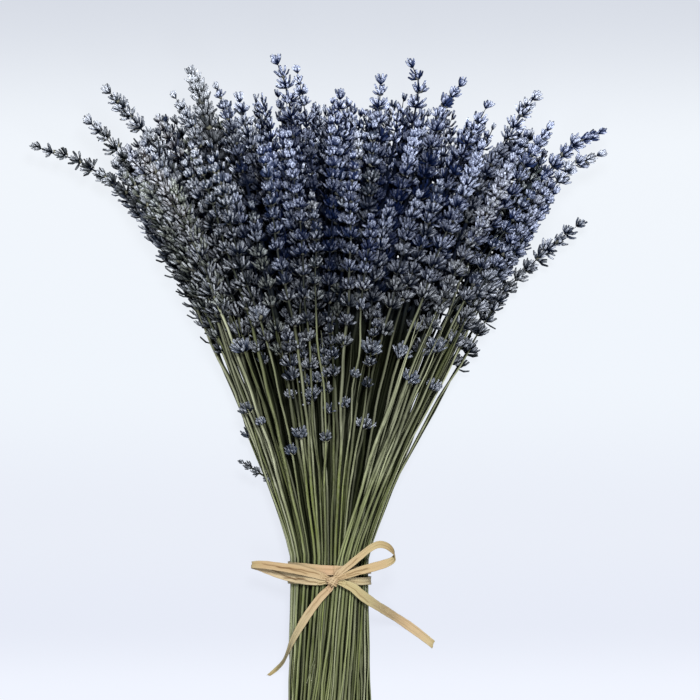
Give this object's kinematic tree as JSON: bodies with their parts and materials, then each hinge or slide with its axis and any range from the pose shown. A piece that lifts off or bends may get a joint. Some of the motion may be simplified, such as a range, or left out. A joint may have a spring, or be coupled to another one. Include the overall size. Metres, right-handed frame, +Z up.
{
  "type": "dried lavender bouquet",
  "caption": "Bunch of dried lavender sprigs lying down, tied round the bare stems with a flat natural raffia strand in a bow.",
  "frame": {"origin": "on the table, under the middle of the raffia band's flat underside", "axes": "+Z up, +Y along the bundle from the cut ends to the flowers, +X to the right seen from above with the flowers away from the viewer"},
  "size_m": [0.3491, 0.4085, 0.1159],
  "materials": {
    "dried_lavender": "dry, matt, dull slate-blue flower heads on grey-green square stems",
    "raffia": "dry, satin, creased along its length"
  },
  "bodies": {
    "root": {"lavender_sprigs_01": "dried_lavender", "lavender_sprigs_02": "dried_lavender", "lavender_sprigs_03": "dried_lavender", "lavender_sprigs_04": "dried_lavender", "lavender_sprigs_05": "dried_lavender", "lavender_sprigs_06": "dried_lavender", "lavender_sprigs_07": "dried_lavender", "lavender_sprigs_08": "dried_lavender", "lavender_sprigs_09": "dried_lavender", "lavender_sprigs_10": "dried_lavender", "lavender_sprigs_11": "dried_lavender", "lavender_sprigs_12": "dried_lavender", "lavender_sprigs_13": "dried_lavender", "lavender_sprigs_14": "dried_lavender", "lavender_sprigs_15": "dried_lavender", "lavender_sprigs_16": "dried_lavender", "lavender_sprigs_17": "dried_lavender", "lavender_sprigs_18": "dried_lavender", "lavender_sprigs_19": "dried_lavender", "lavender_sprigs_20": "dried_lavender", "lavender_sprigs_21": "dried_lavender", "lavender_sprigs_22": "dried_lavender", "lavender_sprigs_23": "dried_lavender", "lavender_sprigs_24": "dried_lavender", "lavender_sprigs_25": "dried_lavender", "lavender_sprigs_26": "dried_lavender", "lavender_sprigs_27": "dried_lavender", "lavender_sprigs_28": "dried_lavender", "lavender_sprigs_29": "dried_lavender", "lavender_sprigs_30": "dried_lavender", "lavender_sprigs_31": "dried_lavender", "lavender_sprigs_32": "dried_lavender", "lavender_sprigs_33": "dried_lavender", "lavender_sprigs_34": "dried_lavender", "lavender_sprigs_35": "dried_lavender", "lavender_sprigs_36": "dried_lavender", "lavender_sprigs_37": "dried_lavender", "lavender_sprigs_38": "dried_lavender", "lavender_sprigs_39": "dried_lavender", "lavender_sprigs_40": "dried_lavender", "lavender_sprigs_41": "dried_lavender", "lavender_sprigs_42": "dried_lavender", "lavender_sprigs_43": "dried_lavender", "lavender_sprigs_44": "dried_lavender", "lavender_sprigs_45": "dried_lavender", "raffia_band": "raffia", "raffia_knot": "raffia", "raffia_loop_left": "raffia", "raffia_loop_right": "raffia", "raffia_tail_left": "raffia", "raffia_tail_right": "raffia"}
  },
  "joints": []
}
